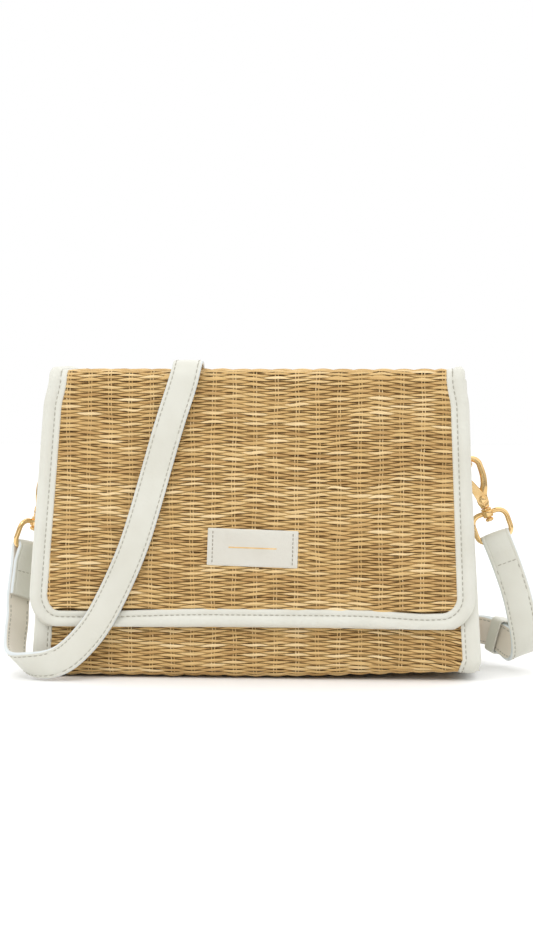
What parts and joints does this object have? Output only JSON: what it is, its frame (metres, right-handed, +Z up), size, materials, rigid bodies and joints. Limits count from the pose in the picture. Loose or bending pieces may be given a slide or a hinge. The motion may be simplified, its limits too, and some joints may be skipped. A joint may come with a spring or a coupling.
{
  "type": "crossbody purse",
  "caption": "Woven straw crossbody bag with off-white bound edges, a front flap with a blank label, and a flat clip-on strap with a pin buckle.",
  "frame": {"origin": "centre of the bag's underside, on the floor", "axes": "+X to the bag's right as seen from the front, +Y to the back, +Z up"},
  "size_m": [0.2945, 0.2156, 0.1725],
  "materials": {
    "woven_straw": "matt woven straw",
    "leathercloth": "soft satin with a fine grain",
    "strap_leathercloth": "soft satin, beige on the inner face",
    "label": "smooth satin",
    "lining_cloth": "plain cloth",
    "gold_hardware": "polished light gold plating"
  },
  "bodies": {
    "root": {"front_panel": "woven_straw", "back_panel": "woven_straw", "base_panel": "woven_straw", "gusset_left": "leathercloth", "gusset_right": "leathercloth", "front_binding_left": "leathercloth", "front_binding_right": "leathercloth", "back_binding_left": "leathercloth", "back_binding_right": "leathercloth", "back_seam_strip": "leathercloth", "body_lining": "lining_cloth", "inner_pocket": "lining_cloth", "snap_socket": "gold_hardware", "ring_tab_left": "leathercloth", "ring_tab_right": "leathercloth", "strap_long": "strap_leathercloth", "strap_short": "strap_leathercloth", "keeper_loop": "strap_leathercloth", "buckle_frame": "gold_hardware"},
    "flap": {"flap_panel": "woven_straw", "flap_lining": "lining_cloth", "flap_binding": "leathercloth", "label_patch": "label", "snap_stud": "gold_hardware"},
    "prong": {"buckle_prong": "gold_hardware"},
    "ring_left": {"d_ring_left": "gold_hardware"},
    "hook_left": {"hook_left": "gold_hardware", "gate_rivet_left": "gold_hardware"},
    "gate_left": {"gate_left": "gold_hardware"},
    "eye_left": {"swivel_eye_left": "gold_hardware"},
    "ring_right": {"d_ring_right": "gold_hardware"},
    "hook_right": {"hook_right": "gold_hardware", "gate_rivet_right": "gold_hardware"},
    "gate_right": {"gate_right": "gold_hardware"},
    "eye_right": {"swivel_eye_right": "gold_hardware"}
  },
  "joints": [
    {"name": "flap_hinge", "type": "hinge", "parent": "root", "child": "flap", "pos_m": [0, 0.027, 0.1664], "axis": [-1, 0, 0], "range_deg": [0, 180], "deforming": ["strap_long"]},
    {"name": "ring_swing_left", "type": "hinge", "parent": "root", "child": "ring_left", "pos_m": [-0.11033, 0, 0.1202], "axis": [0, 1, 0], "range_deg": [-4, 60], "deforming": ["strap_long"]},
    {"name": "hook_swing_left", "type": "hinge", "parent": "ring_left", "child": "hook_left", "pos_m": [-0.11625, 0, 0.10807], "axis": [0, 1, 0], "range_deg": [-4, 40], "deforming": ["strap_long"]},
    {"name": "gate_press_left", "type": "hinge", "parent": "hook_left", "child": "gate_left", "pos_m": [-0.12309, 0, 0.08927], "axis": [0, -1, 0], "range_deg": [0, 20], "stiffness_Nm_per_rad": 0.02, "springref_deg": -20.05},
    {"name": "eye_swivel_left", "type": "hinge", "parent": "hook_left", "child": "eye_left", "pos_m": [-0.12579, 0, 0.08185], "axis": [0.342, 0, 0.9397], "continuous": true, "deforming": ["strap_long"]},
    {"name": "ring_swing_right", "type": "hinge", "parent": "root", "child": "ring_right", "pos_m": [0.10997, 0, 0.1268], "axis": [0, -1, 0], "range_deg": [-4, 60], "deforming": ["strap_short"]},
    {"name": "hook_swing_right", "type": "hinge", "parent": "ring_right", "child": "hook_right", "pos_m": [0.11589, 0, 0.11467], "axis": [0, -1, 0], "range_deg": [-4, 40], "deforming": ["strap_short"]},
    {"name": "gate_press_right", "type": "hinge", "parent": "hook_right", "child": "gate_right", "pos_m": [0.12273, 0, 0.09587], "axis": [0, 1, 0], "range_deg": [0, 20], "stiffness_Nm_per_rad": 0.02, "springref_deg": -20.05},
    {"name": "eye_swivel_right", "type": "hinge", "parent": "hook_right", "child": "eye_right", "pos_m": [0.12543, 0, 0.08845], "axis": [-0.342, 0, 0.9397], "continuous": true, "deforming": ["strap_short"]},
    {"name": "prong_hinge", "type": "hinge", "parent": "root", "child": "prong", "pos_m": [0.10652, 0.0584, 0.01564], "axis": [0.1265, -0.1283, -0.9836], "range_deg": [0, 80], "deforming": ["strap_long", "strap_short"]}
  ]
}
